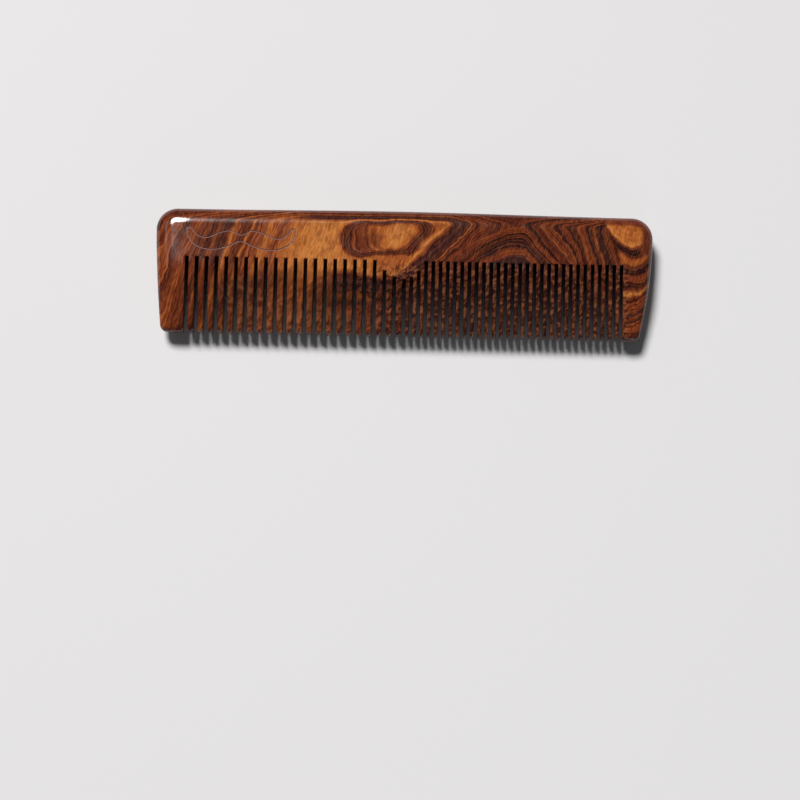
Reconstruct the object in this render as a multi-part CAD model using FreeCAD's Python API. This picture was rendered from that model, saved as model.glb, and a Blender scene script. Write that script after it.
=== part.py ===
import FreeCAD, Part
import math
import os

# Beard comb, sawn and carved from one board of dense hardwood. It lies on its flat back:
# +X runs along the comb from the coarse teeth to the fine teeth, +Y from the tips to the
# spine, +Z out of the decorated front. The origin is under the middle of its box.

Vector = FreeCAD.Vector

# ---- driving dimensions, millimetres ----
LENGTH = 165.0            # across both ends, at the level of the shoulders
HEIGHT = 42.3             # from the crest of the spine to the tooth tips
THICKNESS = 12.0          # of the spine
TIP_THICKNESS = 3.6       # of the teeth, at their tips

SPINE_CROWN = 0.7         # how much the spine rises from the corners to mid-length
SHOULDER_RADIUS = 7.0     # upper corners, seen from the front
GUARD_TIP_RADIUS = 2.2    # lower corners of the two end guards, seen from the front
EDGE_RADIUS = 4.0         # rounding between a face and the rim, on the spine
TIP_EDGE_RADIUS = 1.5     # the same rounding at the tooth tips

# how each end draws in below its shoulder: lean (mm per mm) and bow (mm per square mm)
COARSE_END = {"side": -1, "lean": 0.055, "bow": 0.0007}
FINE_END = {"side": 1, "lean": 0.030, "bow": 0.0030}

FACE_FLAT_TO = 1.5        # the faces are flat from the spine down to this Y
FACE_BEND = 7.0           # length of the bend between the flat face and the tapered one

SLOT_WIDTH = 1.15
SLOT_ROOT_Y = 3.35        # level of the slot roots, away from the middle
SLOT_ROOT_RADIUS = 0.3
SLOT_EASING = 0.3         # chamfer along each tooth edge
COARSE_PITCH = 3.27
COARSE_SLOTS = 23
COARSE_TIP_RADIUS = 0.8
FINE_PITCH = 2.39
FINE_SLOTS = 30
FINE_TIP_RADIUS = 0.55
LAST_COARSE_SLOT_X = 0.3
DIP_DEPTH = 6.2           # the slot roots drop this far where coarse teeth meet fine ones
DIP_SLOTS = 3             # the drop fades out over this many slots to each side

MOTIF_X = -54.0           # centre of the engraved moustache
MOTIF_Y = 9.6
MOTIF_LINE = 0.5          # width of the engraved line
MOTIF_DEPTH = 0.3
# half of the moustache outline, from its upper middle round the curled tip to its lower middle
MOTIF_HALF = [(0.0, 1.3), (3.4, 2.7), (7.2, 2.0), (11.2, 0.3), (14.2, 0.8), (16.2, 2.8), (17.2, 3.7),
              (18.0, 3.0), (17.6, 0.6), (15.6, -2.0), (12.2, -3.5), (8.0, -3.6), (3.6, -2.3), (0.0, -0.9)]
MOTIF_SAMPLES = 72        # points along each edge of the engraved line

# ---- derived values ----
CREST_Y = HEIGHT / 2
TIP_Y = -HEIGHT / 2
CORNER_Y = CREST_Y - SPINE_CROWN
SHOULDER_Y = CORNER_Y - SHOULDER_RADIUS
TAPER_RISE = (THICKNESS - TIP_THICKNESS) / 2
TAPER_ANGLE = math.atan(TAPER_RISE / (FACE_FLAT_TO - FACE_BEND / 2 - TIP_Y))
MARGIN = 1.0              # cutting tools run this far past the wood
NO_LENGTH = 0.01          # a side of a box shorter than this counts as zero
HALF_ROOT = math.sqrt(0.5)


def end_x(end, y):
    """X of one end's rim at height y."""
    drop = SHOULDER_Y - y
    return end["side"] * (LENGTH / 2 - end["lean"] * drop - end["bow"] * drop * max(drop, 0.0))


def make_plate():
    """The board at full thickness, cut to the comb's outline."""
    ends = []
    for end in (COARSE_END, FINE_END):
        heights = (CORNER_Y, 0.0, TIP_Y)
        ends.append(Part.Arc(*[Vector(end_x(end, y), y, 0) for y in heights]).toShape())
    left_x = end_x(COARSE_END, CORNER_Y)
    right_x = end_x(FINE_END, CORNER_Y)
    crest = Part.Arc(Vector(left_x, CORNER_Y, 0), Vector(0, CREST_Y, 0), Vector(right_x, CORNER_Y, 0))
    left_tip = Vector(end_x(COARSE_END, TIP_Y), TIP_Y, 0)
    right_tip = Vector(end_x(FINE_END, TIP_Y), TIP_Y, 0)
    tips = Part.makeLine(left_tip, right_tip)
    outline = Part.Wire(Part.__sortEdges__([ends[0], crest.toShape(), ends[1], tips]))
    plate = Part.Face(outline).extrude(Vector(0, 0, THICKNESS))
    for radius, upper in ((SHOULDER_RADIUS, True), (GUARD_TIP_RADIUS, False)):
        corners = [edge for edge in plate.Edges
                   if edge.BoundBox.ZLength > THICKNESS / 2
                   and edge.BoundBox.XLength + edge.BoundBox.YLength < NO_LENGTH
                   and (edge.CenterOfMass.y > 0) == upper]
        plate = plate.makeFillet(radius, corners)
    return plate


def make_taper():
    """A long bar with the comb's side profile: flat faces, a bend, then a taper to the tips."""
    bend_radius = FACE_BEND / 2 / math.tan(TAPER_ANGLE / 2)

    def bend_point(angle):
        return FACE_FLAT_TO - bend_radius * math.sin(angle), bend_radius * (1 - math.cos(angle))

    near_end = (CREST_Y + MARGIN, 0.0)
    bend = [bend_point(angle) for angle in (0, TAPER_ANGLE / 2, TAPER_ANGLE)]
    far_end = (TIP_Y - MARGIN, TAPER_RISE + MARGIN * math.tan(TAPER_ANGLE))
    lower = [near_end, *bend, far_end]
    back = [Vector(-LENGTH, y, z) for y, z in lower]
    front = [Vector(-LENGTH, y, THICKNESS - z) for y, z in lower]
    edges = []
    for face in (back, front):
        edges.append(Part.makeLine(face[0], face[1]))
        edges.append(Part.Arc(face[1], face[2], face[3]).toShape())
        edges.append(Part.makeLine(face[3], face[4]))
    edges.append(Part.makeLine(back[0], front[0]))
    edges.append(Part.makeLine(back[4], front[4]))
    profile = Part.Wire(Part.__sortEdges__(edges))
    return Part.Face(profile).extrude(Vector(2 * LENGTH, 0, 0))


def rim_radius(y):
    """Rounding of the rim at height y: full on the flat faces, less as the wood gets thinner."""
    share = (FACE_FLAT_TO - y) / (FACE_FLAT_TO - TIP_Y)
    share = min(max(share, 0.0), 1.0)
    return EDGE_RADIUS + (TIP_EDGE_RADIUS - EDGE_RADIUS) * share


def round_rim(blank):
    """Rounds every edge between a face and the rim, with a radius that shrinks to the tips.

    Left alone are the upright edges, the lines where the bend starts and ends on a face, and
    the short edges of the guards' tips, which cross the rim from face to face.
    """
    radii = []
    for number, edge in enumerate(blank.Edges, start=1):
        box = edge.BoundBox
        upright = box.XLength + box.YLength < NO_LENGTH
        across_face = box.YLength < NO_LENGTH and TIP_Y + MARGIN < edge.CenterOfMass.y < CORNER_Y - MARGIN
        across_rim = box.XLength + box.YLength < SHOULDER_RADIUS / 2 and box.ZLength > THICKNESS / 4
        if upright or across_face or across_rim:
            continue
        radii.append((number, rim_radius(box.YMax), rim_radius(box.YMin)))
    document = FreeCAD.newDocument("comb")
    base = document.addObject("Part::Feature", "blank")
    base.Shape = blank
    rounded = document.addObject("Part::Fillet", "rounded")
    rounded.Base = base
    rounded.Edges = radii
    document.recompute()
    return rounded.Shape.copy()


def make_slot(x, root_y, tip_radius):
    """One slot's cutting tool, with a soft square root and a mouth that rounds the tooth tips."""
    half = SLOT_WIDTH / 2
    soft = SLOT_ROOT_RADIUS
    sides = []
    for side in (-1, 1):
        wall = x + side * half
        mouth = wall + side * tip_radius
        below = Vector(mouth, TIP_Y - MARGIN, 0)
        at_tip = Vector(mouth, TIP_Y, 0)
        mid_mouth = Vector(mouth - side * tip_radius * HALF_ROOT, TIP_Y + tip_radius * (1 - HALF_ROOT), 0)
        wall_start = Vector(wall, TIP_Y + tip_radius, 0)
        wall_end = Vector(wall, root_y - soft, 0)
        mid_root = Vector(wall - side * soft * (1 - HALF_ROOT), root_y - soft * (1 - HALF_ROOT), 0)
        at_root = Vector(wall - side * soft, root_y, 0)
        sides.append([
            Part.makeLine(below, at_tip),
            Part.Arc(at_tip, mid_mouth, wall_start).toShape(),
            Part.makeLine(wall_start, wall_end),
            Part.Arc(wall_end, mid_root, at_root).toShape(),
        ])
    root = Part.makeLine(Vector(x - half + soft, root_y, 0), Vector(x + half - soft, root_y, 0))
    reach = half + tip_radius
    mouth_line = Part.makeLine(Vector(x - reach, TIP_Y - MARGIN, 0), Vector(x + reach, TIP_Y - MARGIN, 0))
    outline = Part.Wire(Part.__sortEdges__(sides[0] + [root] + sides[1] + [mouth_line]))
    tool = Part.Face(outline).extrude(Vector(0, 0, THICKNESS + 2 * MARGIN))
    tool.translate(Vector(0, 0, -MARGIN))
    return tool


def make_easing(x, on_front):
    """A shallow wedge run down one tapered face over a slot, which chamfers both tooth edges."""
    bottom = SLOT_WIDTH / 2
    top = bottom + SLOT_EASING + MARGIN
    section = [Vector(x - bottom, 0, -SLOT_EASING), Vector(x + bottom, 0, -SLOT_EASING),
               Vector(x + top, 0, MARGIN), Vector(x - top, 0, MARGIN)]
    tool = Part.Face(Part.makePolygon(section + section[:1])).extrude(Vector(0, HEIGHT, 0))
    tool.rotate(Vector(0, 0, 0), Vector(1, 0, 0), math.degrees(TAPER_ANGLE))
    tool.translate(Vector(0, TIP_Y - MARGIN, THICKNESS - TAPER_RISE - MARGIN * math.tan(TAPER_ANGLE)))
    if not on_front:
        tool = tool.mirror(Vector(0, 0, THICKNESS / 2), Vector(0, 0, 1))
    return tool


def slot_tools():
    """Every slot: evenly spaced coarse ones, then fine ones, with shorter slots where they meet."""
    tools = []
    for step in range(1 - COARSE_SLOTS, FINE_SLOTS + 1):
        coarse = step <= 0
        x = LAST_COARSE_SLOT_X + step * (COARSE_PITCH if coarse else FINE_PITCH)
        dip = DIP_DEPTH * max(0.0, 1 - (step / DIP_SLOTS) ** 2)
        tip_radius = COARSE_TIP_RADIUS if step < 0 else FINE_TIP_RADIUS
        tools.append(make_slot(x, SLOT_ROOT_Y - dip, tip_radius))
        tools.append(make_easing(x, True))
        tools.append(make_easing(x, False))
    return tools


def make_motif():
    """The engraved line round a plain moustache, as a ring sunk into the front face."""
    left_half = [(-x, y) for x, y in MOTIF_HALF[-2:0:-1]]
    floor_z = THICKNESS - MOTIF_DEPTH
    points = [Vector(MOTIF_X + x, MOTIF_Y + y, floor_z) for x, y in MOTIF_HALF + left_half]
    middle = Part.BSplineCurve()
    middle.interpolate(Points=points, PeriodicFlag=True)
    span = middle.LastParameter - middle.FirstParameter

    def block(distance):
        edge_points = []
        for sample in range(MOTIF_SAMPLES):
            place = middle.FirstParameter + span * sample / MOTIF_SAMPLES
            along = middle.tangent(place)[0]
            edge_points.append(middle.value(place) + Vector(-along.y, along.x, 0) * distance)
        edge_curve = Part.BSplineCurve()
        edge_curve.interpolate(Points=edge_points, PeriodicFlag=True)
        return Part.Face(Part.Wire(edge_curve.toShape())).extrude(Vector(0, 0, MOTIF_DEPTH + MARGIN))

    blocks = sorted([block(-MOTIF_LINE / 2), block(MOTIF_LINE / 2)], key=lambda solid: solid.Volume)
    return blocks[1].cut(blocks[0])


def make_comb():
    blank = make_plate().common(make_taper()).Solids[0]
    comb = round_rim(blank)
    comb = comb.cut(Part.Compound(slot_tools()))
    comb = comb.cut(make_motif())
    return comb.Solids[0]


os.makedirs("parts", exist_ok=True)
comb_body = make_comb()
comb_body.exportStep("parts/comb_body.step")
box = comb_body.BoundBox
print("comb_body", comb_body.isValid(), "volume", round(comb_body.Volume), "box", box)
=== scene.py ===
import math

import bmesh
import bpy
from mathutils import Matrix, Vector, geometry
from mathutils.kdtree import KDTree


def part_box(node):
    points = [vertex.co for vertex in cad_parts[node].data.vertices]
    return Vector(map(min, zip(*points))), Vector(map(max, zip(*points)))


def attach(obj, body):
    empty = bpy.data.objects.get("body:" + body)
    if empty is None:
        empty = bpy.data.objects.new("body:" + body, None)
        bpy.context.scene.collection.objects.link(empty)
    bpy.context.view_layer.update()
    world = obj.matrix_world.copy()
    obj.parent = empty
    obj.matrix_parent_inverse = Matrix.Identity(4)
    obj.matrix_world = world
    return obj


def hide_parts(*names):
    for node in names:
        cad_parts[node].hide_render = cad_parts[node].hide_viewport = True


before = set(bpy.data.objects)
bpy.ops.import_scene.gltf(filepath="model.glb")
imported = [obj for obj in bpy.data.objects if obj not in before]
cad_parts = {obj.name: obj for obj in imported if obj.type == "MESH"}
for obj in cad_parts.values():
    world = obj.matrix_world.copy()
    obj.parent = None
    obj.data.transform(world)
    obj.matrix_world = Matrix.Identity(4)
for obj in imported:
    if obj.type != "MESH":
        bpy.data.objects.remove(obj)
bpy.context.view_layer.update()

# Looks of the beard comb. The comb lies on its back in the CAD frame: +X towards the fine
# teeth, +Y towards the spine, +Z out of the engraved front. Shapes are worked out in
# millimetres, with z measured from the comb's middle plane, and scaled to metres at the end.

MM = 0.001

# ---- size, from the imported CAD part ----
low, high = [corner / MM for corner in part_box("comb_body")]
MIDDLE_X = (low.x + high.x) / 2
HALF_LENGTH = (high.x - low.x) / 2
CREST_Y = high.y
TIP_Y = low.y
MIDDLE_Z = (low.z + high.z) / 2
HALF_THICKNESS = (high.z - low.z) / 2

# ---- outline and rounding, millimetres ----
TIP_HALF_THICKNESS = 1.8
CROWN = 0.6               # rise of the spine between its corners
SHOULDER_RADIUS = 7.0     # upper corners, seen from the front
SHOULDER_X = HALF_LENGTH - SHOULDER_RADIUS
SHOULDER_Y = CREST_Y - CROWN - SHOULDER_RADIUS
GUARD_TIP_RADIUS = 2.2    # lower outer corners of the two end guards
EDGE_RADIUS = 4.0         # rounding between a face and the rim, on the spine
TIP_EDGE_RADIUS = 1.5     # the same rounding at the tooth tips
EDGE_REACH = 1.38         # the rounding is this much longer across the face than down the rim
RIM_MARGIN = 0.3          # flat strip inside the rounding
END_SHAPE = {-1: (0.055, 0.0007), 1: (0.030, 0.0030)}   # how each end leans and bows inwards
LEAN_IN = 3.0             # length over which the lean sets in below the shoulder
FACE_FLAT_TO = 1.5        # the faces are flat from the spine down to this Y
FACE_BEND = 7.0           # length of the bend between the flat face and the tapered one
END_FALL_REACH = 12.0     # towards each end the faces fall away over this length
END_FALL_RADIUS = 80.0    # along a curve of this radius
TAPER = (HALF_THICKNESS - TIP_HALF_THICKNESS) / (FACE_FLAT_TO - FACE_BEND / 2 - TIP_Y)

# ---- slots and teeth, millimetres ----
SLOT_HALF_WIDTH = (0.57, 0.62)       # at the roots, at the tips
SLOT_ROOT_Y = 3.35
COARSE_PITCH = 3.27
COARSE_SLOTS = 23
FINE_PITCH = 2.39
FINE_SLOTS = 30
LAST_COARSE_SLOT_X = 0.3
DIP_DEPTH = 6.2                      # the slots are shorter where coarse teeth meet fine ones
DIP_SLOTS = 3
ROOT_EASE = 0.3                      # rounding of the tooth edges at the roots
COARSE_EASE = 0.7                    # and at the tips of the coarse teeth
FINE_EASE = 0.45                     # and at the tips of the fine teeth
EASE_FROM_Y = -3.0                   # the rounding grows from here down to the tips
COARSE_TIP_RADIUS = 0.8
FINE_TIP_RADIUS = 0.48
NOSE = 2.2                           # length of the rounded tooth tips

# ---- mesh fineness ----
RIM_SEGMENTS = 8
EASE_SEGMENTS = 3
CORNER_STEPS = 6
NOSE_STEPS = 8
SPINE_ROW = 1.3           # longest cell on the spine and the bend
TOOTH_ROW = 2.8           # longest cell on the straight part of the teeth
GUARD_FILL = 3            # cells between a shoulder's centre and the first slot
WELD = 1e-4               # points closer than this are one point
SAME_PLACE = 1e-6         # the same for the points of the engraved line
JOIN_ANGLE = math.radians(40)      # triangles round the motif join into quads up to this angle
SHARP_ANGLE = math.radians(50)     # edges sharper than this are shaded as edges

# ---- engraved moustache, millimetres ----
MOTIF_X = -54.0
MOTIF_Y = 9.6
MOTIF_LINE = 0.5
MOTIF_DEPTH = 0.3
# One half of the outline, from the middle's upper point round to its lower one.
MOTIF_HALF = [(0.0, 1.3), (3.4, 2.7), (7.2, 2.0), (11.2, 0.3), (14.2, 0.8), (16.2, 2.8), (17.2, 3.7),
              (18.0, 3.0), (17.6, 0.6), (15.6, -2.0), (12.2, -3.5), (8.0, -3.6), (3.6, -2.3), (0.0, -0.9)]
MOTIF_STEPS = 10          # points along each span of the outline
MOTIF_MARGIN = (19.6, 5.2)     # half size of the face area that is remeshed round the motif
# The groove's section as (share of the line's width, share of its depth).
GROOVE = [(-0.5, 0.0), (-0.25, 0.75), (0.0, 1.0), (0.25, 0.75), (0.5, 0.0)]


def add_object(name, data):
    thing = bpy.data.objects.new(name, data)
    bpy.context.scene.collection.objects.link(thing)
    return thing


# ---------------------------------------------------------------- shape

def arc(segments):
    """Angles from the rim (0) to the flat face (a quarter turn)."""
    return [math.pi / 2 * step / segments for step in range(segments + 1)]


def rounding(radius, angles, reach=1.0):
    """Points of a rounded edge as (inset from the rim, drop below the face)."""
    return [(radius * reach * (1 - math.cos(angle)), radius * (1 - math.sin(angle))) for angle in angles]


def round_off(inset, radius):
    """Drop of a rounded edge at this inset from the rim."""
    if inset >= radius:
        return 0.0
    return radius - math.sqrt(radius ** 2 - (radius - inset) ** 2)


def mix(first, last, share):
    return first + (last - first) * min(max(share, 0.0), 1.0)


def half_thickness(y):
    """Half of the wood's thickness at height y, away from rounded edges."""
    bend = min(max(FACE_FLAT_TO - y, 0.0), FACE_BEND)
    beyond = max(FACE_FLAT_TO - FACE_BEND - y, 0.0)
    return HALF_THICKNESS - TAPER * (bend ** 2 / (2 * FACE_BEND) + beyond)


def rim_radius(y):
    return mix(EDGE_RADIUS, TIP_EDGE_RADIUS, (FACE_FLAT_TO - y) / (FACE_FLAT_TO - TIP_Y))


def end_x(side, y):
    """X of an end's rim: upright at the shoulder, then drawing in towards the tips."""
    drop = SHOULDER_Y - y
    lean, bow = END_SHAPE[side]
    inset = lean * (math.hypot(drop, LEAN_IN) - LEAN_IN) + bow * drop ** 2
    return MIDDLE_X + side * (HALF_LENGTH - inset)


def crest_y(x):
    """Y of the spine's rim, level at mid-length and at both shoulders."""
    return CREST_Y - CROWN * (1 - math.cos(math.pi * (x - MIDDLE_X) / SHOULDER_X)) / 2


SLOTS = list(range(1 - COARSE_SLOTS, FINE_SLOTS + 1))
RIM_ANGLES = arc(RIM_SEGMENTS)
SPINE_INSET = EDGE_RADIUS * EDGE_REACH + RIM_MARGIN
SPINE_EDGE = rounding(EDGE_RADIUS, RIM_ANGLES, EDGE_REACH) + [(SPINE_INSET, 0.0)]
EASE_ANGLES = arc(EASE_SEGMENTS)
NOSE_Y = TIP_Y + NOSE


def slot_x(slot):
    return LAST_COARSE_SLOT_X + slot * (COARSE_PITCH if slot <= 0 else FINE_PITCH)


def slot_root(slot):
    return SLOT_ROOT_Y - DIP_DEPTH * max(0.0, 1 - (slot / DIP_SLOTS) ** 2)


def towards_tip(y):
    return (EASE_FROM_Y - y) / (EASE_FROM_Y - TIP_Y)


def is_coarse(slot, side):
    """True if the wood on this side of the slot is a coarse tooth."""
    return slot < 0 or (slot == 0 and side < 0)


def wall_x(slot, side, y):
    return slot_x(slot) + side * mix(*SLOT_HALF_WIDTH, towards_tip(y))


def beside_slot(slot, side, y):
    """Face points on one side of a slot, from its wall to where the rounding ends."""
    radius = mix(ROOT_EASE, COARSE_EASE if is_coarse(slot, side) else FINE_EASE, towards_tip(y))
    above = max(y - slot_root(slot), 0.0)
    points = []
    for inset, _ in rounding(radius, EASE_ANGLES):
        z = half_thickness(y) - round_off(math.hypot(inset, above), radius)
        points.append((wall_x(slot, side, y) + side * inset, z))
    return points


def beside_end(side, y):
    """Face points of a guard from its rim inwards, as far as the level of the shoulder's centre."""
    rim = end_x(side, y)
    radius = rim_radius(y)
    edge = rounding(radius, RIM_ANGLES, EDGE_REACH)
    points = [(rim - side * inset, half_thickness(y) - drop) for inset, drop in edge]
    start = rim - side * (radius * EDGE_REACH + RIM_MARGIN)
    centre = MIDDLE_X + side * SHOULDER_X
    for step in range(CORNER_STEPS + 1):
        points.append((mix(start, centre, step / CORNER_STEPS), half_thickness(y)))
    return points


def between(first, last, cells, y):
    """Points that split the stretch between two face points, without its ends."""
    return [(mix(first[0], last[0], step / cells), half_thickness(y)) for step in range(1, cells)]


def straight_section(finger, y):
    """Front half of a guard's or a tooth's section at height y: (x, z) from left to right."""
    left = beside_end(-1, y) if finger == 0 else beside_slot(SLOTS[finger - 1], 1, y)
    right = beside_end(1, y) if finger == len(SLOTS) else beside_slot(SLOTS[finger], -1, y)
    cells = GUARD_FILL if finger in (0, len(SLOTS)) else 2
    return left + between(left[-1], right[-1], cells, y) + right[::-1]


def finger_limit(finger, side, y):
    """X of a finger's left or right limit, with its lower corner rounded off."""
    if (finger, side) in ((0, -1), (len(SLOTS), 1)):
        rim, radius = end_x(side, y), GUARD_TIP_RADIUS
    else:
        slot = SLOTS[finger - 1] if side < 0 else SLOTS[finger]
        rim = wall_x(slot, -side, y)
        radius = COARSE_TIP_RADIUS if is_coarse(slot, -side) else FINE_TIP_RADIUS
    return rim - side * round_off(y - TIP_Y, radius)


def section(finger, y):
    """A finger's section; in the rounded tip it is the last straight section, drawn in."""
    if y >= NOSE_Y:
        return straight_section(finger, y)
    base = straight_section(finger, NOSE_Y)
    left = finger_limit(finger, -1, y)
    stretch = (finger_limit(finger, 1, y) - left) / (base[-1][0] - base[0][0])
    flatten = (half_thickness(y) - round_off(y - TIP_Y, TIP_EDGE_RADIUS)) / half_thickness(NOSE_Y)
    return [(left + (x - base[0][0]) * stretch, z * flatten) for x, z in base]


def comb_row(y):
    """All face points at height y. The middle of a slot has a point only above its root."""
    points = section(0, y)
    for number, slot in enumerate(SLOTS):
        above = y - slot_root(slot)
        if above > -WELD:
            points.append((slot_x(slot), half_thickness(y) - round_off(max(above, 0.0), ROOT_EASE)))
        else:
            points.append(None)
        points += section(number + 1, y)
    return points


def row_heights():
    """Heights of the rows, from the shoulders down to the tips."""
    marks = {SHOULDER_Y, FACE_FLAT_TO, FACE_FLAT_TO - FACE_BEND}
    for root in {slot_root(slot) for slot in SLOTS}:
        marks |= {root + inset for inset, _ in rounding(ROOT_EASE, EASE_ANGLES)}
    marks |= {TIP_Y + inset for inset, _ in rounding(NOSE, arc(NOSE_STEPS))}
    marks = sorted(marks, reverse=True)
    rows = marks[:1]
    for upper, lower in zip(marks, marks[1:]):
        longest = SPINE_ROW if upper > FACE_FLAT_TO - FACE_BEND else TOOTH_ROW
        cells = math.ceil((upper - lower) / longest)
        rows += [mix(upper, lower, cell / cells) for cell in range(1, cells + 1)]
    return rows


# ---------------------------------------------------------------- mesh

def add_grid(mesh, grid):
    """Quads over a grid of points; a missing point leaves a gap."""
    verts = [[point and mesh.verts.new(point) for point in row] for row in grid]
    for upper, lower in zip(verts, verts[1:]):
        for corners in zip(upper, upper[1:], lower[1:], lower):
            if None not in corners:
                mesh.faces.new(corners)


def add_spine_top(mesh, level_row):
    """The face above the shoulders' level, between their centres, and the rounded top rim."""
    face = [[] for _ in range(CORNER_STEPS + 1)]
    rim = [[] for _ in range(RIM_SEGMENTS + 2)]
    for x, _ in level_row:
        top = crest_y(x)
        for step in range(CORNER_STEPS + 1):
            face[step].append((x, mix(SHOULDER_Y, top - SPINE_INSET, step / CORNER_STEPS), HALF_THICKNESS))
        for line, (inset, drop) in zip(rim, SPINE_EDGE):
            line.append((x, top - inset, HALF_THICKNESS - drop))
    add_grid(mesh, face)
    add_grid(mesh, rim)


def add_shoulder(mesh, side):
    """One upper corner: a rounded rim swept round the arc, and the face inside it."""
    centre = Vector((MIDDLE_X + side * SHOULDER_X, SHOULDER_Y, 0))
    turns = [math.pi / 2 * step / (2 * CORNER_STEPS) for step in range(2 * CORNER_STEPS + 1)]
    outward = [Vector((side * math.cos(turn), math.sin(turn), 0)) for turn in turns]
    inner_radius = SHOULDER_RADIUS - SPINE_INSET
    rim = []
    for inset, drop in SPINE_EDGE:
        lift = Vector((0, 0, HALF_THICKNESS - drop))
        rim.append([centre + way * (SHOULDER_RADIUS - inset) + lift for way in outward])
    add_grid(mesh, rim)
    inner = [centre + way * inner_radius for way in outward]
    face = []
    for up in range(CORNER_STEPS + 1):
        row = []
        for along in range(CORNER_STEPS + 1):
            u, v = along / CORNER_STEPS, up / CORNER_STEPS
            bottom = inner[0].lerp(centre, u)
            top = inner[CORNER_STEPS + along]
            start = inner[up]
            end = centre.lerp(inner[-1], v)
            flat = inner[0].lerp(centre, u).lerp(inner[CORNER_STEPS].lerp(inner[-1], u), v)
            point = bottom.lerp(top, v) + start.lerp(end, u) - flat
            row.append(point + Vector((0, 0, HALF_THICKNESS)))
        face.append(row)
    add_grid(mesh, face)


def add_front_sheet(mesh):
    rows = row_heights()
    grid = []
    for y in rows:
        grid.append([point and (point[0], y, point[1]) for point in comb_row(y)])
    add_grid(mesh, grid)
    reach = SHOULDER_X + WELD
    add_spine_top(mesh, [point for point in comb_row(rows[0]) if abs(point[0] - MIDDLE_X) <= reach])
    for side in (-1, 1):
        add_shoulder(mesh, side)
    bmesh.ops.remove_doubles(mesh, verts=mesh.verts, dist=WELD)


def close_solid(mesh):
    """Mirrors the front sheet to the back and joins the two along every open edge."""
    rim = [edge for edge in mesh.edges if len(edge.link_faces) == 1]
    pairs = [tuple(edge.verts) for edge in rim]
    front = list(mesh.faces)
    copy = bmesh.ops.duplicate(mesh, geom=list(mesh.verts) + list(mesh.edges) + front)
    twin = copy["vert_map"]
    for vert in {twin[vert] for face in front for vert in face.verts}:
        vert.co.z = -vert.co.z
    middle = {}
    for pair in pairs:
        for vert in pair:
            if vert not in middle:
                middle[vert] = mesh.verts.new((vert.co.x, vert.co.y, 0.0))
    for a, b in pairs:
        mesh.faces.new((a, b, middle[b], middle[a]))
        mesh.faces.new((middle[a], middle[b], twin[b], twin[a]))


def motif_outline():
    """The engraved outline as (points, normals), evenly smooth through its corner points."""
    half = [Vector(point) for point in MOTIF_HALF]
    corners = half + [Vector((-point.x, point.y)) for point in half[-2:0:-1]]
    corners = [corner + Vector((MOTIF_X, MOTIF_Y)) for corner in corners]
    count = len(corners)
    along = [(corners[(n + 1) % count] - corners[n - 1]).normalized() for n in range(count)]
    points = []
    for n in range(count):
        here, after = corners[n], corners[(n + 1) % count]
        reach = (after - here).length / 3
        span = geometry.interpolate_bezier(here, here + along[n] * reach,
                                           after - along[(n + 1) % count] * reach, after, MOTIF_STEPS + 1)
        points += [point.copy() for point in span[:-1]]
    normals = []
    for n in range(len(points)):
        way = (points[(n + 1) % len(points)] - points[n - 1]).normalized()
        normals.append(Vector((-way.y, way.x)))
    return points, normals


def engrave(mesh):
    """Remeshes the face round the motif, with a rounded groove along its outline."""
    outline, normals = motif_outline()
    tree = KDTree(len(outline))
    for number, point in enumerate(outline):
        tree.insert((point.x, point.y, 0), number)
    tree.balance()

    def in_window(place):
        return (abs(place.x - MOTIF_X) < MOTIF_MARGIN[0] and abs(place.y - MOTIF_Y) < MOTIF_MARGIN[1]
                and place.z > HALF_THICKNESS - WELD)

    window = [face for face in mesh.faces if in_window(face.calc_center_median()) and
              all(vert.co.z > HALF_THICKNESS - WELD for vert in face.verts)]
    inside = set(window)
    border = [edge for edge in {edge for face in window for edge in face.edges}
              if sum(face in inside for face in edge.link_faces) == 1]
    border.sort(key=lambda edge: tuple(edge.verts[0].co) + tuple(edge.verts[1].co))
    on_border = {vert for edge in border for vert in edge.verts}
    free = {vert for face in window for vert in face.verts} - on_border

    flat, depth, lines = [], [], []
    index = {}
    for edge in border:
        for vert in edge.verts:
            if vert not in index:
                index[vert] = len(flat)
                flat.append(vert.co.xy)
                depth.append(0.0)
        lines.append(tuple(index[vert] for vert in edge.verts))
    for place in sorted(tuple(vert.co.xy) for vert in free):
        if tree.find((place[0], place[1], 0))[2] > MOTIF_LINE:
            flat.append(Vector(place))
            depth.append(0.0)
    for across, down in GROOVE:
        first = len(flat)
        for point, normal in zip(outline, normals):
            flat.append(point + normal * (across * MOTIF_LINE))
            depth.append(down * MOTIF_DEPTH)
        count = len(outline)
        lines += [(first + n, first + (n + 1) % count) for n in range(count)]

    bmesh.ops.delete(mesh, geom=window, context="FACES")
    places, _, faces, sources, _, _ = geometry.delaunay_2d_cdt(flat, lines, [], 1, SAME_PLACE)
    verts = []
    for place, source in zip(places, sources):
        z = HALF_THICKNESS - (depth[source[0]] if source else 0.0)
        verts.append(mesh.verts.new((place.x, place.y, z)))
    made = [mesh.faces.new([verts[corner] for corner in face]) for face in faces]
    bmesh.ops.join_triangles(mesh, faces=made, angle_face_threshold=JOIN_ANGLE,
                             angle_shape_threshold=JOIN_ANGLE)
    bmesh.ops.remove_doubles(mesh, verts=mesh.verts, dist=WELD)


def soften_ends(mesh):
    """Lets both faces fall away gently towards the two ends."""
    for vert in mesh.verts:
        beyond = max(abs(vert.co.x - MIDDLE_X) - (HALF_LENGTH - END_FALL_REACH), 0.0)
        vert.co.z *= 1 - beyond ** 2 / (2 * END_FALL_RADIUS * HALF_THICKNESS)


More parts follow.
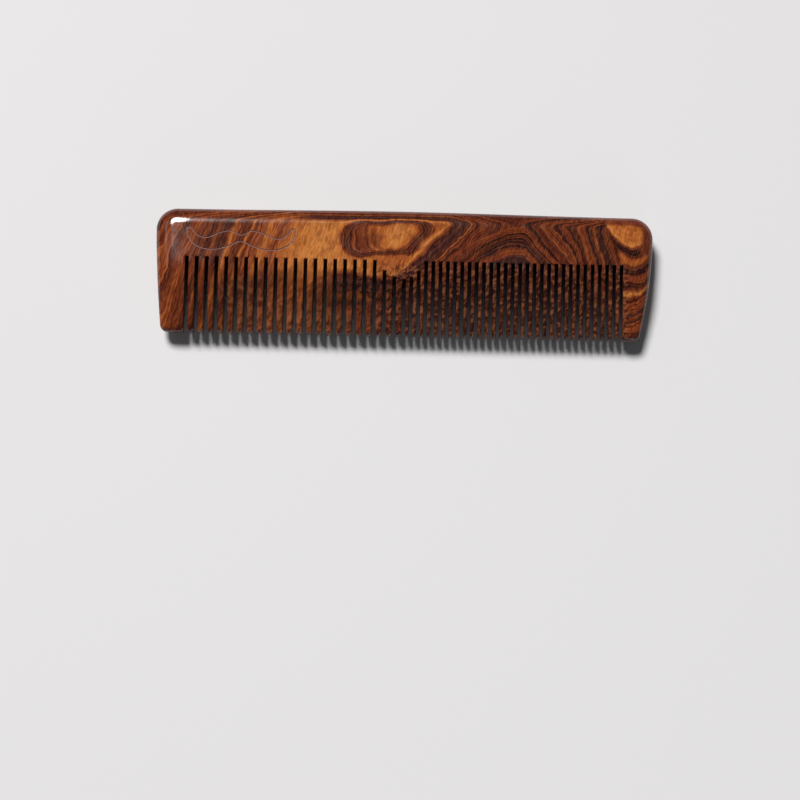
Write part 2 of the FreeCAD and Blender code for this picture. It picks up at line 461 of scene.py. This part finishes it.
def build_comb():
    """The whole comb as one closed mesh, in metres in the CAD frame."""
    mesh = bmesh.new()
    add_front_sheet(mesh)
    close_solid(mesh)
    engrave(mesh)
    soften_ends(mesh)
    bmesh.ops.recalc_face_normals(mesh, faces=mesh.faces)
    open_edges = sum(not edge.is_manifold for edge in mesh.edges)
    volume = round(mesh.calc_volume())
    print("comb mesh:", len(mesh.faces), "faces,", open_edges, "open edges,", volume, "mm3")
    for vert in mesh.verts:
        vert.co = (vert.co + Vector((0, 0, MIDDLE_Z))) * MM
    data = bpy.data.meshes.new("beard_comb")
    mesh.to_mesh(data)
    mesh.free()
    data.shade_smooth()
    data.set_sharp_from_angle(angle=SHARP_ANGLE)
    comb = add_object("beard_comb", data)
    weighted = comb.modifiers.new("even_faces", "WEIGHTED_NORMAL")
    weighted.keep_sharp = True
    return comb


# ---------------------------------------------------------------- node formulas

class Value:
    """A shader socket that can be used in plain arithmetic."""

    tree = None

    def __init__(self, socket):
        self.socket = socket

    def __add__(self, other):
        return sum_of("ADD", self, other)

    def __sub__(self, other):
        return sum_of("SUBTRACT", self, other)

    def __rsub__(self, other):
        return sum_of("SUBTRACT", other, self)

    def __mul__(self, other):
        return sum_of("MULTIPLY", self, other)

    def __truediv__(self, other):
        return sum_of("DIVIDE", self, other)


def plug(node, name, value):
    """Sets an input, or links it if the value is a Value."""
    if isinstance(value, Value):
        Value.tree.links.new(value.socket, node.inputs[name])
    else:
        node.inputs[name].default_value = value


def sum_of(operation, *values):
    """The result of one math node."""
    node = Value.tree.nodes.new("ShaderNodeMath")
    node.operation = operation
    for place, value in enumerate(values):
        plug(node, place, value)
    return Value(node.outputs[0])


def smooth(value, start, end):
    """0 before start, 1 after end, and a smooth step between; start may be the larger."""
    node = Value.tree.nodes.new("ShaderNodeMapRange")
    node.interpolation_type = "SMOOTHSTEP"
    if start > end:
        start, end = end, start
        node.inputs["To Min"].default_value = 1.0
        node.inputs["To Max"].default_value = 0.0
    plug(node, "Value", value)
    plug(node, "From Min", start)
    plug(node, "From Max", end)
    return Value(node.outputs["Result"])


def vector(x, y, z):
    node = Value.tree.nodes.new("ShaderNodeCombineXYZ")
    for name, value in zip("XYZ", (x, y, z)):
        plug(node, name, value)
    return Value(node.outputs[0])


def noise(place, scale=1.0, detail=2.0, roughness=0.5, dimensions="3D"):
    """Noise between 0 and 1; a 1D noise takes a plain value as its place."""
    node = Value.tree.nodes.new("ShaderNodeTexNoise")
    node.noise_dimensions = dimensions
    plug(node, "W" if dimensions == "1D" else "Vector", place)
    plug(node, "Scale", scale)
    plug(node, "Detail", detail)
    plug(node, "Roughness", roughness)
    return Value(node.outputs["Fac"])


def blend(share, first, second, way="MIX"):
    """Mixes the second colour into the first one."""
    node = Value.tree.nodes.new("ShaderNodeMix")
    node.data_type = "RGBA"
    node.blend_type = way
    plug(node, 0, share)
    for place, colour in ((6, first), (7, second)):
        plug(node, place, colour if isinstance(colour, Value) else (*colour, 1.0))
    return Value(node.outputs[2])


def ramp(value, stops):
    """Colour along a line of (place, colour) stops, places rising from 0 to 1."""
    node = Value.tree.nodes.new("ShaderNodeValToRGB")
    plug(node, "Fac", value)
    elements = node.color_ramp.elements
    while len(elements) < len(stops):
        elements.new(0.5)
    for element, (place, colour) in zip(elements, stops):
        element.position = place
        element.color = (*colour, 1.0)
    return Value(node.outputs["Color"])


def lightness(colour):
    node = Value.tree.nodes.new("ShaderNodeRGBToBW")
    plug(node, "Color", colour)
    return Value(node.outputs[0])


def oval(x, y, centre, radii, turn=0.0):
    """Distance from a centre in units of a blunt oval's radii, with the oval turned by degrees."""
    c, s = math.cos(math.radians(turn)), math.sin(math.radians(turn))
    dx, dy = x - centre[0], y - centre[1]
    u = (dx * c + dy * s) / radii[0]
    v = (dy * c - dx * s) / radii[1]
    return sum_of("SQRT", sum_of("SQRT", u * u * u * u + v * v * v * v))


def rise(value, knee):
    """Grows with the value above zero and stays near zero below it, with a soft knee."""
    return (sum_of("SQRT", value * value + knee * knee) + value) * 0.5


# ---------------------------------------------------------------- wood

GOLD = (0.45, 0.163, 0.037)
HONEY = (0.39, 0.118, 0.024)
ORANGE = (0.28, 0.070, 0.018)
CHESTNUT = (0.20, 0.044, 0.013)
RUSSET = (0.125, 0.027, 0.011)
BROWN = (0.069, 0.014, 0.007)
MULBERRY = (0.095, 0.033, 0.026)
PLUM = (0.046, 0.014, 0.011)
DARK = (0.030, 0.007, 0.005)
TAN = (0.23, 0.080, 0.036)
MAUVE = (0.20, 0.115, 0.105)     # pale mauve-grey in the engraved line

# Tints that darken the colour under them.
LINE_TINT = (0.30, 0.18, 0.20)
EYE_TINT = (0.40, 0.30, 0.30)
ARCH_TINT = (0.50, 0.38, 0.42)
CLOUD_TINT = (0.42, 0.36, 0.42)
MOTTLE_TINT = (0.55, 0.42, 0.36)
STREAK_TINT = (0.50, 0.38, 0.32)
FIBRE_TINT = (0.40, 0.30, 0.26)

# Colours met while crossing the growth layers, as (place in millimetres, colour). In the eye and
# round it the place is the distance outwards from the eye's middle.
EYE = [(0.0, HONEY), (6.0, GOLD), (9.6, HONEY), (10.8, ORANGE), (11.8, CHESTNUT), (12.4, DARK),
       (12.9, RUSSET), (13.4, DARK), (13.9, CHESTNUT), (14.4, DARK), (15.0, CHESTNUT), (15.6, ORANGE),
       (16.1, HONEY), (17.0, GOLD), (17.8, ORANGE), (18.6, RUSSET), (19.5, BROWN), (21.5, MULBERRY),
       (23.8, BROWN), (24.6, MULBERRY), (25.2, HONEY), (25.7, BROWN), (26.4, ORANGE), (27.1, BROWN),
       (29.5, CHESTNUT), (32.0, RUSSET), (34.5, BROWN), (36.0, CHESTNUT), (38.0, BROWN), (41.0, RUSSET),
       (45.0, BROWN)]
# Across the arch the place is the height of the layer's peak.
ARCH = [(-6.0, BROWN), (2.0, PLUM), (5.6, PLUM), (6.5, CHESTNUT), (7.6, ORANGE), (8.7, CHESTNUT),
        (9.1, DARK), (9.8, DARK), (10.1, RUSSET), (10.4, DARK), (11.0, DARK), (11.3, RUSSET), (11.6, DARK),
        (12.0, DARK), (12.4, ORANGE), (12.7, DARK), (13.0, CHESTNUT), (13.4, DARK), (13.9, DARK),
        (14.3, CHESTNUT), (15.2, ORANGE), (16.4, CHESTNUT), (18.0, RUSSET)]
# Left of the eye and right of the arch the place is X at a height of 10 mm.
LEFT = [(-84.0, RUSSET), (-80.0, CHESTNUT), (-77.5, ORANGE), (-76.2, CHESTNUT), (-75.2, ORANGE),
        (-74.2, RUSSET), (-73.0, RUSSET), (-71.6, CHESTNUT), (-70.6, ORANGE), (-69.5, ORANGE),
        (-68.6, CHESTNUT), (-67.8, RUSSET), (-66.8, ORANGE), (-65.6, RUSSET), (-64.2, BROWN),
        (-62.9, ORANGE), (-61.9, CHESTNUT), (-60.3, BROWN), (-58.8, RUSSET), (-57.5, HONEY),
        (-56.0, ORANGE), (-55.2, CHESTNUT), (-54.0, BROWN), (-53.0, CHESTNUT), (-51.8, HONEY),
        (-50.4, CHESTNUT), (-49.0, ORANGE), (-47.8, CHESTNUT), (-46.0, HONEY), (-41.0, ORANGE),
        (-38.0, HONEY), (-30.0, GOLD)]
RIGHT = [(30.0, RUSSET), (36.0, BROWN), (40.0, RUSSET), (43.0, CHESTNUT), (44.5, PLUM), (46.5, DARK),
         (48.3, RUSSET), (49.5, CHESTNUT), (50.4, PLUM), (51.3, ORANGE), (52.6, RUSSET), (53.6, ORANGE),
         (54.8, PLUM), (56.0, RUSSET), (57.2, CHESTNUT), (58.3, DARK), (59.2, RUSSET), (60.2, ORANGE),
         (61.4, CHESTNUT), (62.3, DARK), (63.2, PLUM), (64.4, ORANGE), (65.6, DARK), (67.0, PLUM),
         (68.6, CHESTNUT), (70.0, BROWN), (72.0, CHESTNUT)]
# On the teeth below the golden field the place is a mix of the eye's layers and the left ones.
LOWER = [(-40.0, CHESTNUT), (-30.0, RUSSET), (-22.0, CHESTNUT), (-18.0, ORANGE), (-14.0, RUSSET),
         (-10.0, PLUM), (-5.0, RUSSET), (0.0, ORANGE), (5.0, RUSSET), (12.0, PLUM), (20.0, CHESTNUT),
         (30.0, RUSSET)]
# On the right guard the place is the height at which the layer crosses the guard's middle.
GUARD = [(-21.0, RUSSET), (-19.5, CHESTNUT), (-18.3, ORANGE), (-17.3, CHESTNUT), (-16.6, PLUM),
         (-15.8, RUSSET), (-14.8, CHESTNUT), (-14.1, PLUM), (-13.0, CHESTNUT), (-11.5, ORANGE),
         (-9.8, CHESTNUT), (-8.8, RUSSET), (-7.9, ORANGE), (-7.0, GOLD), (-6.0, ORANGE), (-4.8, BROWN),
         (-3.6, BROWN), (-2.4, CHESTNUT), (-1.2, CHESTNUT), (0.0, BROWN), (1.6, PLUM), (3.0, RUSSET),
         (4.4, HONEY), (5.6, ORANGE), (6.6, RUSSET), (7.4, DARK), (8.6, DARK), (9.2, ORANGE),
         (10.0, GOLD), (11.6, HONEY)]

# Where the parts of the figure lie on the front, millimetres and degrees.
EYE_CENTRE, EYE_RADII, EYE_TURN = (-5.5, 11.4), (15.3, 6.3), 5.0
EYE_HEART, HEART_RADII = (-0.5, 12.6), (8.6, 4.8)     # its plain golden middle
EYE_SHADE, EYE_SHADE_RADII, EYE_SHADE_TURN = (-10.5, 10.8), (3.6, 2.4), 30.0
ARCH_PEAK = (36.0, 40.5)         # the arch is level between these X and falls on both sides
ARCH_SLOPES = (0.5, 1.15)        # left and right of its peak
ARCH_SHADE, ARCH_SHADE_RADII, ARCH_SHADE_TURN = (29.5, 9.6), (9.0, 2.8), 30.0
CLOUD, CLOUD_RADII, CLOUD_TURN = (-14.0, -7.5), (19.0, 4.6), 4.0     # dark patch on the middle teeth
LAYER_Y = 10.0                   # height at which the slanting layers are placed
RIM_Y = 15.8                     # above this the layers bend over into the spine's rim
GUARD_X = 75.2                   # middle of the right guard
CORNER_PATCH = ((77.8, 79.2), (16.6, 17.8))     # right and upper border of its bright patch; russet beyond them, on the right as painted shade of the rounded rim
BOW_Y = -20.0                    # height round which the steep layers on the left bow
FIBRE_RELIEF = 0.00003           # height of the raised fibres, metres


def grain(place, stops, fineness=1.0):
    """Colour at a place across the growth layers, with fine dark lines along them."""
    first, last = stops[0][0], stops[-1][0]
    span = last - first
    tone = ramp((place - first) / span, [((at - first) / span, shade) for at, shade in stops])
    coarse = smooth(noise(place, 0.70 * fineness, 2.0, 0.6, "1D"), 0.51, 0.57)
    fine = smooth(noise(place, 1.7 * fineness, 3.0, 0.7, "1D"), 0.51, 0.56)
    in_light_wood = smooth(lightness(tone), 0.09, 0.19)
    lines = sum_of("MAXIMUM", coarse * 0.70, fine) * (1.0 - in_light_wood * 0.85)
    return blend(lines, tone, LINE_TINT, "MULTIPLY")


class Spot:
    """A point in the wood in millimetres, plain and as bent by the wandering of the layers."""

    def __init__(self, x, y, z):
        self.x, self.y, self.z = x, y, z
        self.place = vector(x, y, z)
        shifted = vector(x, y, z + 40.0)
        slow_x, quick_x = noise(self.place, 0.05, 1.0) - 0.5, noise(self.place, 0.22, 2.0) - 0.5
        slow_y, quick_y = noise(shifted, 0.06, 1.0) - 0.5, noise(shifted, 0.26, 2.0) - 0.5
        self.bent_x = x + slow_x * 3.0 + quick_x * 2.4
        self.bent_y = y + slow_y * 3.0 + quick_y * 2.2
        self.depth = HALF_THICKNESS * 2 - z
        above = rise(y - RIM_Y, 0.5)
        self.sweep = above * sum_of("SMOOTH_MIN", above, 2.8, 0.6)
        self.ragged = self.bent_y + noise(vector(x * 0.5, y * 0.2, z), 1.0, 2.0) * 4.0
        self.fibre = noise(vector((x - y * 0.3) * 2.6, y * 0.40, z * 1.2), 1.0, 3.0, 0.62)


def eye_layer(spot):
    """Distance outwards from the eye's middle; on its right the eye is cut by slanting layers."""
    wx, wy = spot.bent_x, spot.bent_y
    outline = oval(wx, wy, EYE_CENTRE, EYE_RADII, EYE_TURN) * 15.0
    round_heart = rise(oval(wx, wy, EYE_HEART, HEART_RADII) - 1.0, 0.1) * 1.8 + 9.9
    inner = sum_of("SMOOTH_MAX", outline, smooth(wx, 0.0, -7.5) * round_heart, 0.6)
    golden_field = 16.9 - smooth(wx, -16.0, -6.0) * 1.2
    slanting = (wx - wy * 0.95) + 18.0
    layer = sum_of("SMOOTH_MAX", sum_of("SMOOTH_MIN", inner, golden_field, 1.2), slanting, 1.6)
    return layer + spot.sweep + spot.depth + smooth(spot.ragged, 3.0, -6.0) * 7.0


def eye_colour(spot, layer):
    inside = oval(spot.bent_x, spot.bent_y, EYE_SHADE, EYE_SHADE_RADII, EYE_SHADE_TURN)
    return blend(smooth(inside, 1.3, 0.3) * 0.7, grain(layer, EYE), EYE_TINT, "MULTIPLY")


def add_arch(spot, colour):
    """The arch: a dark bundle over an orange lens."""
    wx, wy = spot.bent_x, spot.bent_y
    left_fall = rise(ARCH_PEAK[0] - wx, 1.5) * ARCH_SLOPES[0]
    right_fall = rise(wx - ARCH_PEAK[1], 1.0) * ARCH_SLOPES[1]
    layer = wy + left_fall + right_fall - spot.depth * 1.2
    inside = oval(wx, wy, ARCH_SHADE, ARCH_SHADE_RADII, ARCH_SHADE_TURN)
    arch = blend(smooth(inside, 1.2, 0.5) * 0.55, grain(layer, ARCH, 1.3), ARCH_TINT, "MULTIPLY")
    under = smooth(layer, 17.5, 15.8) * smooth(wx, 21.0, 27.0) * smooth(wy, -2.0, 4.0)
    return blend(under, colour, arch)


def add_right_streaks(spot, colour):
    """Streaks fanning out to the right of the arch."""
    wx, wy = spot.bent_x, spot.bent_y
    lean = 0.95 - smooth(wx, 47.0, 61.0) * 0.62
    layer = wx + (wy - LAYER_Y) * lean - spot.sweep * 1.2 - spot.depth * 1.6
    return blend(smooth(wx + wy, 54.5, 57.0), colour, grain(layer, RIGHT))


def add_right_guard(spot, colour):
    """Bands that hang across the right guard, and a bright patch in the upper corner, bordered by plain
    russet that on the rounded right rim is painted shade.
    """
    wx, wy = spot.bent_x, spot.bent_y
    across = wx - GUARD_X
    ripple = noise(vector(spot.x, spot.y * 0.6, spot.z + 80.0), 0.28, 2.0) - 0.5
    wavy = ripple * smooth(wy, 9.0, 3.0) * 4.0
    hang = across * across * 0.07
    inner_rise = rise(0.0 - across, 0.5) * smooth(wy, 2.0, 8.0) * 0.45
    layer = wy + wavy - hang - across * 0.12 - inner_rise - spot.depth * 0.4
    right_border, upper_border = CORNER_PATCH
    # Right of the patch the guard's rounded rim is plain russet, painted shade; above the patch the same
    # russet borders it.
    beside = smooth(wx, *right_border) * smooth(wy, 6.0, 9.0)
    edge = sum_of("MAXIMUM", smooth(wy, *upper_border), beside)
    bands = blend(edge, grain(layer, GUARD, 0.6), RUSSET)
    return blend(smooth(wx + rise(wy - 8.0, 0.5) * 0.5, 71.0, 72.6), colour, bands)


def add_left_field(spot, colour, eye):
    """Steep bands on the left, and a golden field between them and the eye."""
    wx, wy = spot.bent_x, spot.bent_y
    height = wy - BOW_Y
    bow = (height * height - (LAYER_Y - BOW_Y) ** 2) * 0.00415
    layer = wx - (wy - LAYER_Y) * 0.1 - bow - spot.sweep * 1.6 + spot.depth * 0.5
    below = smooth(spot.ragged, 5.0, -3.0) * smooth(wx, -84.0, -42.0)
    field = blend(below * 0.85, grain(layer, LEFT, 0.8), grain(eye * 0.6 + layer * 0.5, LOWER))
    return blend(smooth(wx + wy * 0.5, -20.0, -32.0), colour, field)


def add_teeth_dashes(spot, colour):
    """Short dashes where the layers cross the teeth, and a dark cloud on the middle teeth."""
    x, y, wx = spot.x, spot.y, spot.bent_x
    dashes = noise(vector(x * 0.45 + y * 0.2, y * 0.75 - x * 0.35, spot.z * 0.5), 1.0, 2.0, 0.6)
    right_teeth = smooth(y, 3.5, 0.5) * smooth(wx, -30.0, 4.0) * smooth(x, 75.0, 73.5)
    left_tips = smooth(y + x * 0.35, -16.0, -26.0) * smooth(wx, -66.0, -52.0) * smooth(wx, -10.0, -20.0)
    teeth = sum_of("MAXIMUM", right_teeth, left_tips * 0.8)
    colour = blend(smooth(dashes, 0.51, 0.56) * teeth * 0.55, colour, TAN)
    colour = blend(smooth(dashes, 0.49, 0.44) * teeth * 0.75, colour, DARK)
    cloud = smooth(oval(wx, spot.bent_y, CLOUD, CLOUD_RADII, CLOUD_TURN), 1.25, 0.6)
    return blend(cloud * 0.75, colour, CLOUD_TINT, "MULTIPLY")


def add_surface_detail(spot, colour):
    """Mottle, soft streaks and fine fibres, the same all over."""
    x, y, z = spot.x, spot.y, spot.z
    mottle = noise(vector(x, y * 0.7, z), 0.42, 3.0, 0.65)
    colour = blend(smooth(mottle, 0.44, 0.64) * 0.6, colour, MOTTLE_TINT, "MULTIPLY")
    streaks = noise(vector((x - y * 0.3) * 1.25, y * 0.22, z * 0.6), 1.0, 2.0, 0.6)
    colour = blend(smooth(streaks, 0.48, 0.62) * 0.45, colour, STREAK_TINT, "MULTIPLY")
    colour = blend(smooth(spot.fibre, 0.50, 0.64) * 0.50, colour, FIBRE_TINT, "MULTIPLY")
    return blend(smooth(spot.fibre, 0.46, 0.34) * 0.12, colour, GOLD)


def add_engraving_colour(spot, colour):
    """Pale mauve-grey in the engraved line: wood below the face, in the stretch of the motif."""
    x, y = spot.x, spot.y
    in_height = smooth(y, 3.8, 4.4) * smooth(y, 15.6, 15.0)
    in_width = smooth(x, -72.9, -72.5) * smooth(x, -34.0, -35.0)
    return blend(smooth(spot.depth, 0.02, 0.18) * in_height * in_width, colour, MAUVE)


def wood_colour(spot):
    eye = eye_layer(spot)
    colour = eye_colour(spot, eye)
    colour = add_arch(spot, colour)
    colour = add_right_streaks(spot, colour)
    colour = add_right_guard(spot, colour)
    colour = add_left_field(spot, colour, eye)
    colour = add_teeth_dashes(spot, colour)
    colour = add_surface_detail(spot, colour)
    # pale mauve-grey in the engraved line
    return add_engraving_colour(spot, colour)


def wood_material():
    """Figured hardwood under a clear polish, with the fibres just raised."""
    material = bpy.data.materials.new("polished_figured_hardwood")
    material.use_nodes = True
    Value.tree = material.node_tree
    surface = Value.tree.nodes["Principled BSDF"]
    texture = Value.tree.nodes.new("ShaderNodeTexCoord")
    split = Value.tree.nodes.new("ShaderNodeSeparateXYZ")
    Value.tree.links.new(texture.outputs["Object"], split.inputs[0])
    spot = Spot(*[Value(output) / MM for output in split.outputs])

    plug(surface, "Base Color", wood_colour(spot))
    plug(surface, "Roughness", 0.45)
    plug(surface, "Specular IOR Level", 0.0)
    plug(surface, "Coat Weight", 0.9)
    polish = noise(spot.place, 0.12, 3.0, 0.6)
    plug(surface, "Coat Roughness", smooth(polish, 0.35, 0.7) * 0.05 + 0.10)
    bump = Value.tree.nodes.new("ShaderNodeBump")
    plug(bump, "Strength", 0.25)
    plug(bump, "Distance", FIBRE_RELIEF)
    plug(bump, "Height", spot.fibre)
    Value.tree.links.new(bump.outputs["Normal"], surface.inputs["Normal"])
    return material


# ---------------------------------------------------------------- scene

FLOOR_REACH = 1.5                # metres, from here on
FLOOR_GAP = 0.0001               # between the floor and the comb's back
KEY_FROM = (-0.290, 0.495, 0.86)
LEFT_FROM = (-0.60, 0.30, 0.53)
FILL_FROM = (0.4, -1.0, 0.22)
CAMERA_AT = (0.0038, -0.2195, 0.8392)
CAMERA_TARGET = (-0.00023, -0.0412, 0.0)
CAMERA_UP = (-0.0227, 0.9997, 0)
CAMERA_LENS = 116.55             # millimetres, on a sensor 36 mm wide


def make_floor():
    """A plain pale floor just under the comb."""
    data = bpy.data.meshes.new("floor")
    corners = [(-FLOOR_REACH, -FLOOR_REACH, 0), (FLOOR_REACH, -FLOOR_REACH, 0),
               (FLOOR_REACH, FLOOR_REACH, 0), (-FLOOR_REACH, FLOOR_REACH, 0)]
    data.from_pydata(corners, [], [(0, 1, 2, 3)])
    floor = add_object("floor", data)
    floor.location.z = low.z * MM - FLOOR_GAP
    material = bpy.data.materials.new("pale_floor")
    material.use_nodes = True
    surface = material.node_tree.nodes["Principled BSDF"]
    surface.inputs["Base Color"].default_value = (0.53, 0.53, 0.54, 1)
    surface.inputs["Roughness"].default_value = 0.6
    data.materials.append(material)


def aim(thing, place, target, up=(0, 1, 0)):
    """Puts a camera or lamp at a place, looking at a target."""
    back = (Vector(place) - Vector(target)).normalized()
    across = Vector(up).cross(back).normalized()
    over = back.cross(across)
    thing.rotation_mode = "QUATERNION"
    turn = Matrix((across, over, back)).transposed().to_4x4()
    thing.matrix_world = Matrix.Translation(place) @ turn


def add_key():
    """A wide, soft sun from the upper left."""
    data = bpy.data.lights.new("key", "SUN")
    data.energy = 4.8
    data.angle = math.radians(19)
    data.color = (1.0, 0.98, 0.96)
    aim(add_object("key", data), KEY_FROM, (0, 0, 0))


def add_panel(name, place, size, power, colour):
    data = bpy.data.lights.new(name, "AREA")
    data.shape = "RECTANGLE"
    data.size, data.size_y = size
    data.energy = power
    data.color = colour
    aim(add_object(name, data), place, (0, 0, 0))


def make_world():
    """A pale surround for the camera that lights the comb only a little."""
    world = bpy.data.worlds.new("studio")
    bpy.context.scene.world = world
    world.use_nodes = True
    Value.tree = world.node_tree
    background = Value.tree.nodes["Background"]
    seen = Value(Value.tree.nodes.new("ShaderNodeLightPath").outputs["Is Camera Ray"])
    plug(background, "Color", (0.92, 0.95, 1.0, 1.0))
    plug(background, "Strength", seen * 0.67 + 0.08)


def make_camera():
    """The camera looks almost straight down, tilted 12 degrees from the tips' side."""
    data = bpy.data.cameras.new("camera")
    data.lens = CAMERA_LENS
    data.sensor_width = 36.0
    camera = add_object("camera", data)
    aim(camera, CAMERA_AT, CAMERA_TARGET, CAMERA_UP)
    bpy.context.scene.camera = camera


bpy.context.scene.view_settings.view_transform = "Standard"
comb = build_comb()
comb.data.materials.append(wood_material())
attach(comb, "root")
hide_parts("comb_body")
make_floor()
make_world()
add_key()
add_panel("left", LEFT_FROM, (0.16, 0.26), 0.2, (1.0, 0.94, 0.96))
add_panel("fill", FILL_FROM, (1.0, 0.4), 1.6, (0.95, 0.97, 1.0))
make_camera()
